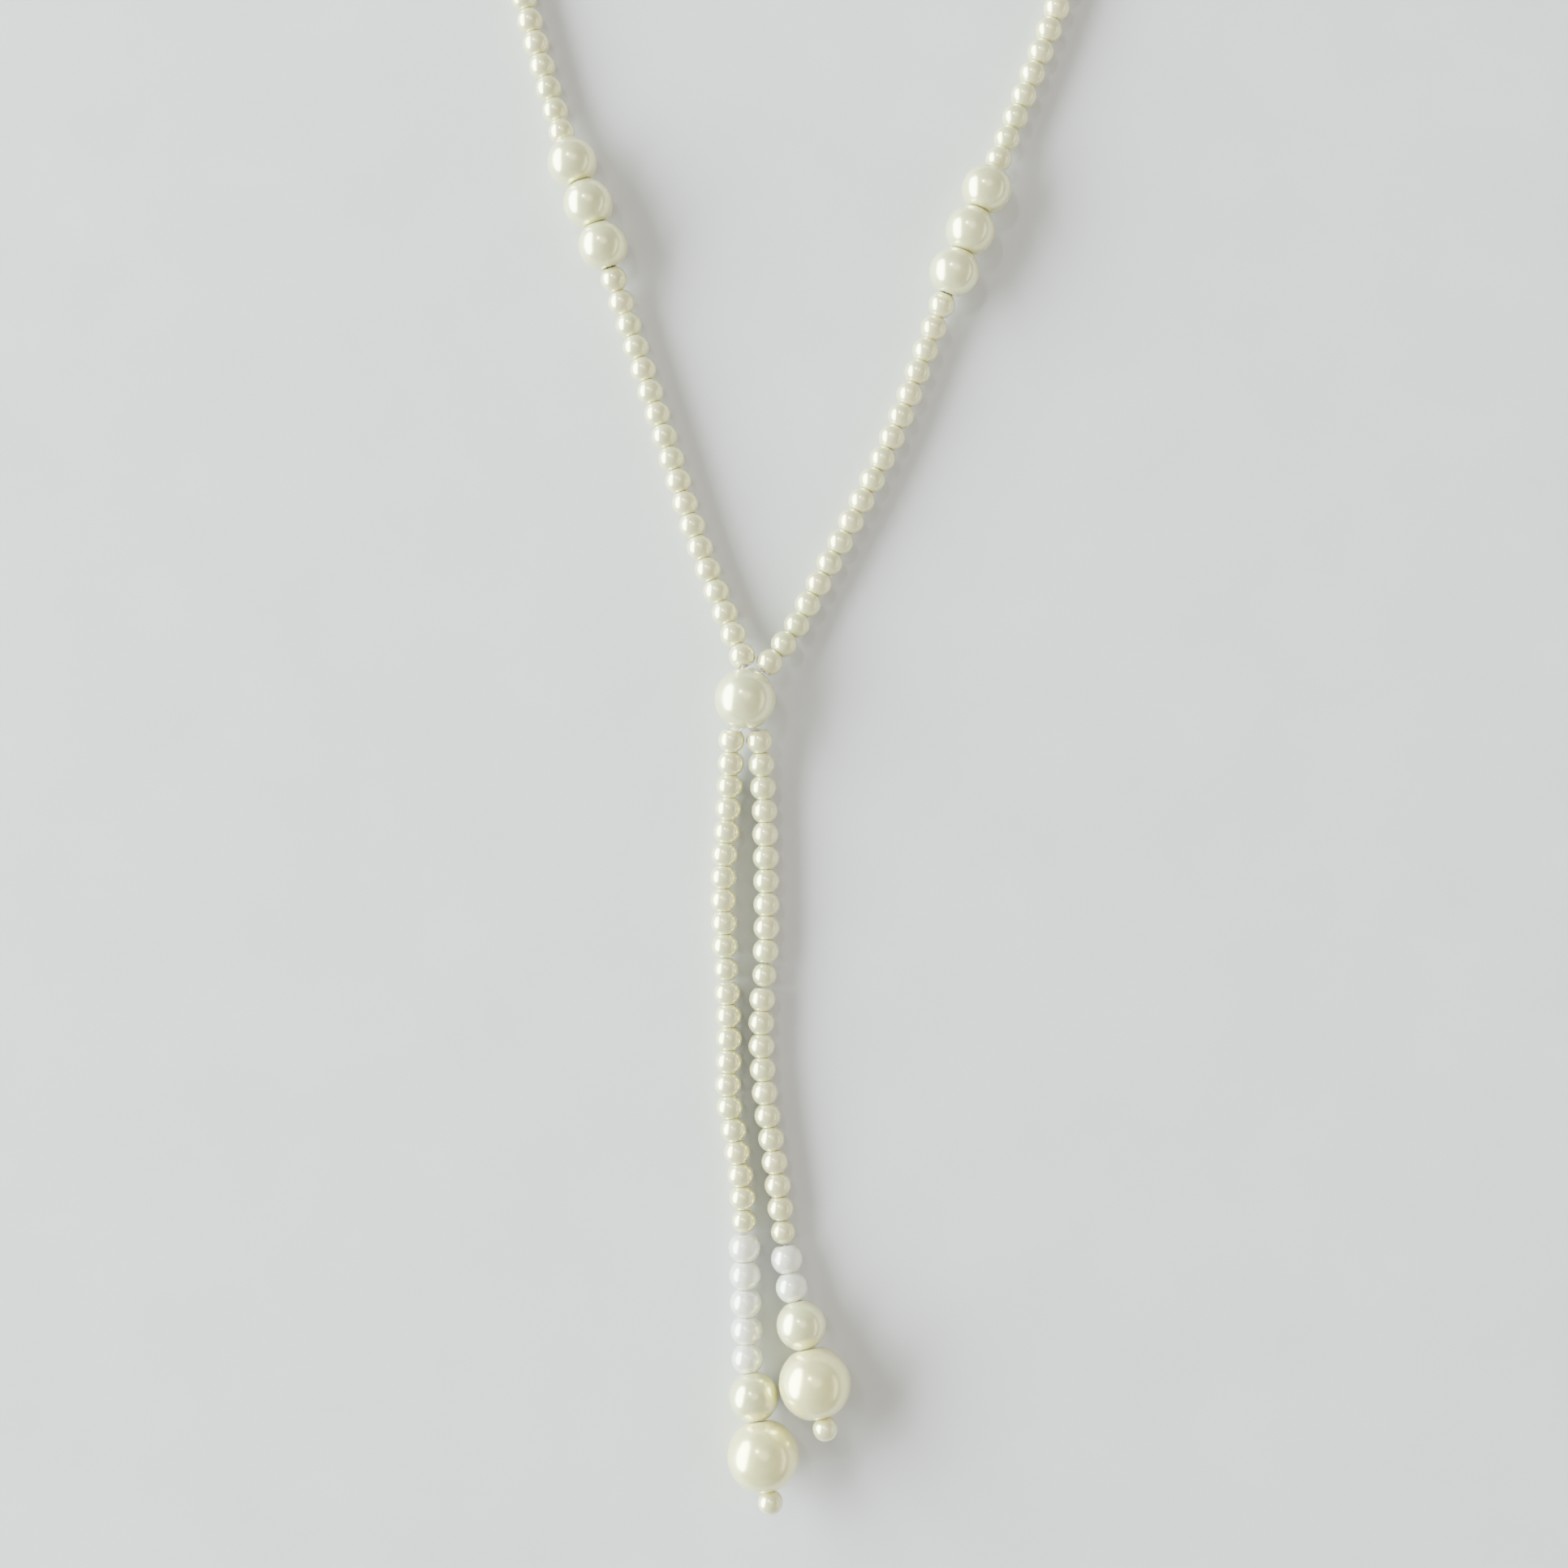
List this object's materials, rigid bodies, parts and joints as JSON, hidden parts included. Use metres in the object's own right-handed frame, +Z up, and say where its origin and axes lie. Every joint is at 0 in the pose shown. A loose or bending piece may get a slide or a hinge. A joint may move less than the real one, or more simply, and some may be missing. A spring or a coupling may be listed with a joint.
{
  "type": "pearl necklace",
  "caption": "Lariat-style imitation pearl necklace: two strung strands meet in one slider pearl and hang as two tassels with large drop pearls; closed by a lobster clasp.",
  "frame": {"origin": "middle of the bounding box, on the surface that the necklace lies on", "axes": "+Y runs from the tassels to the clasp, +Z is up off the surface, +X is to the right of a viewer who looks down with the clasp away from them"},
  "size_m": [0.1102, 0.3688, 0.0116],
  "materials": {
    "pearl_cream": "pearlescent cream coating",
    "pearl_warm": "pearlescent warm cream coating",
    "pearl_frosted": "translucent milky pearl",
    "thread": "twisted off-white thread",
    "findings": "bright plated wire",
    "clasp": "plated, lightly brushed"
  },
  "bodies": {
    "slider": {"slider_pearl": "pearl_cream", "slider_thread": "thread"},
    "left_neck": {"left_neck_pearls": "pearl_cream", "left_side_pearls": "pearl_cream", "left_neck_thread": "thread"},
    "left_accent_low": {"left_accent_low": "pearl_cream"},
    "left_accent_mid": {"left_accent_mid": "pearl_cream"},
    "left_accent_high": {"left_accent_high": "pearl_cream"},
    "left_turn": {"left_turn_pearl": "pearl_cream", "left_turn_thread": "thread"},
    "left_nape": {"left_nape_pearls": "pearl_cream", "left_nape_thread": "thread", "left_knot": "thread", "left_bead_tip": "findings", "jump_ring": "findings", "clasp_body": "clasp", "clasp_pin": "clasp", "clasp_spring": "clasp"},
    "left_tassel_upper": {"left_tassel_upper_pearls": "pearl_cream", "left_tassel_upper_thread": "thread"},
    "left_tassel_lower": {"left_tassel_lower_pearls": "pearl_cream", "left_tassel_lower_thread": "thread"},
    "left_drop": {"left_frosted_pearls": "pearl_frosted", "left_drop_thread": "thread", "left_stop_bead": "pearl_cream"},
    "left_drop_spacer": {"left_drop_spacer": "pearl_cream"},
    "left_drop_pearl": {"left_drop_pearl": "pearl_warm"},
    "right_neck": {"right_neck_pearls": "pearl_cream", "right_side_pearls": "pearl_cream", "right_neck_thread": "thread"},
    "right_accent_low": {"right_accent_low": "pearl_cream"},
    "right_accent_mid": {"right_accent_mid": "pearl_cream"},
    "right_accent_high": {"right_accent_high": "pearl_cream"},
    "right_turn": {"right_turn_pearl": "pearl_cream", "right_turn_thread": "thread"},
    "right_nape": {"right_nape_pearls": "pearl_cream", "right_nape_thread": "thread", "right_knot": "thread", "right_bead_tip": "findings", "end_ring": "findings"},
    "right_tassel_upper": {"right_tassel_upper_pearls": "pearl_cream", "right_tassel_upper_thread": "thread"},
    "right_tassel_lower": {"right_tassel_lower_pearls": "pearl_cream", "right_tassel_lower_thread": "thread"},
    "right_drop": {"right_frosted_pearls": "pearl_frosted", "right_drop_thread": "thread", "right_stop_bead": "pearl_cream"},
    "right_drop_spacer": {"right_drop_spacer": "pearl_cream"},
    "right_drop_pearl": {"right_drop_pearl": "pearl_warm"},
    "clasp_lever": {"clasp_lever": "clasp"}
  },
  "joints": [
    {"name": "left_neck_swing", "type": "hinge", "parent": "slider", "child": "left_neck", "pos_m": [-0.00759, -0.05561, 0.00493], "axis": [0, 0, 1], "range_deg": [0, 30]},
    {"name": "left_accent_low_spin", "type": "hinge", "parent": "left_neck", "child": "left_accent_low", "pos_m": [-0.03023, 0.0166, 0.004], "axis": [-0.3221, 0.9435, 0.0777], "continuous": true},
    {"name": "left_accent_mid_spin", "type": "hinge", "parent": "left_neck", "child": "left_accent_mid", "pos_m": [-0.0326, 0.02328, 0.004], "axis": [-0.3461, 0.9382, 0], "continuous": true},
    {"name": "left_accent_high_spin", "type": "hinge", "parent": "left_neck", "child": "left_accent_high", "pos_m": [-0.03513, 0.02989, 0.004], "axis": [-0.3432, 0.9361, -0.0777], "continuous": true},
    {"name": "left_turn_swivel", "type": "hinge", "parent": "left_neck", "child": "left_turn", "pos_m": [-0.04479, 0.06398, 0.002], "axis": [0, 0, 1], "range_deg": [-30, 0]},
    {"name": "left_nape_swing", "type": "hinge", "parent": "left_turn", "child": "left_nape", "pos_m": [-0.04479, 0.06398, 0.002], "axis": [0, 0, 1], "range_deg": [-30, 0]},
    {"name": "left_tassel_swing", "type": "hinge", "parent": "slider", "child": "left_tassel_upper", "pos_m": [-0.00759, -0.05561, 0.00493], "axis": [0, 0, 1], "range_deg": [-60, 0]},
    {"name": "left_tassel_lift", "type": "hinge", "parent": "left_tassel_upper", "child": "left_tassel_lower", "pos_m": [-0.01066, -0.09878, 0.002], "axis": [-1, 0, 0], "range_deg": [0, 80]},
    {"name": "left_drop_swing", "type": "hinge", "parent": "left_tassel_lower", "child": "left_drop", "pos_m": [-0.0078, -0.13909, 0.002], "axis": [0, 0, 1], "range_deg": [-50, 0]},
    {"name": "left_spacer_spin", "type": "hinge", "parent": "left_drop", "child": "left_drop_spacer", "pos_m": [-0.0062, -0.16665, 0.00417], "axis": [0.1624, -0.9707, 0.1772], "continuous": true},
    {"name": "left_drop_pearl_spin", "type": "hinge", "parent": "left_drop", "child": "left_drop_pearl", "pos_m": [-0.00471, -0.17557, 0.0058], "axis": [0.1624, -0.9707, 0.1772], "continuous": true},
    {"name": "right_neck_swing", "type": "hinge", "parent": "slider", "child": "right_neck", "pos_m": [-0.00759, -0.05561, 0.00493], "axis": [0, 0, 1], "range_deg": [-30, 0]},
    {"name": "right_accent_low_spin", "type": "hinge", "parent": "right_neck", "child": "right_accent_low", "pos_m": [0.02571, 0.01244, 0.004], "axis": [0.3538, 0.9321, 0.0777], "continuous": true},
    {"name": "right_accent_mid_spin", "type": "hinge", "parent": "right_neck", "child": "right_accent_mid", "pos_m": [0.02825, 0.01905, 0.004], "axis": [0.3624, 0.932, 0], "continuous": true},
    {"name": "right_accent_high_spin", "type": "hinge", "parent": "right_neck", "child": "right_accent_high", "pos_m": [0.03085, 0.02564, 0.004], "axis": [0.3689, 0.9262, -0.0777], "continuous": true},
    {"name": "right_turn_swivel", "type": "hinge", "parent": "right_neck", "child": "right_turn", "pos_m": [0.0446, 0.06232, 0.002], "axis": [0, 0, 1], "range_deg": [0, 30]},
    {"name": "right_nape_swing", "type": "hinge", "parent": "right_turn", "child": "right_nape", "pos_m": [0.0446, 0.06232, 0.002], "axis": [0, 0, 1], "range_deg": [0, 30]},
    {"name": "right_tassel_swing", "type": "hinge", "parent": "slider", "child": "right_tassel_upper", "pos_m": [-0.00759, -0.05561, 0.00493], "axis": [0, 0, 1], "range_deg": [0, 60]},
    {"name": "right_tassel_lift", "type": "hinge", "parent": "right_tassel_upper", "child": "right_tassel_lower", "pos_m": [-0.00451, -0.09969, 0.002], "axis": [-1, 0, 0], "range_deg": [0, 80]},
    {"name": "right_drop_swing", "type": "hinge", "parent": "right_tassel_lower", "child": "right_drop", "pos_m": [-0.00155, -0.14084, 0.002], "axis": [0, 0, 1], "range_deg": [0, 50]},
    {"name": "right_spacer_spin", "type": "hinge", "parent": "right_drop", "child": "right_drop_spacer", "pos_m": [0.00137, -0.15521, 0.00416], "axis": [0.2298, -0.957, 0.1772], "continuous": true},
    {"name": "right_drop_pearl_spin", "type": "hinge", "parent": "right_drop", "child": "right_drop_pearl", "pos_m": [0.0035, -0.16409, 0.0058], "axis": [0.2298, -0.957, 0.1772], "continuous": true},
    {"name": "clasp_lever_open", "type": "hinge", "parent": "left_nape", "child": "clasp_lever", "pos_m": [0.00058, 0.18205, 0.0022], "axis": [0, 0, 1], "range_deg": [-17, 0], "stiffness_Nm_per_rad": 0.0002, "springref_deg": 11.46}
  ],
  "couplings": [
    {"joint": "left_turn_swivel", "follows": "left_neck_swing", "ratio": -1},
    {"joint": "right_turn_swivel", "follows": "right_neck_swing", "ratio": -1},
    {"joint": "left_nape_swing", "follows": "right_neck_swing", "ratio": 1},
    {"joint": "right_nape_swing", "follows": "left_neck_swing", "ratio": 1}
  ]
}
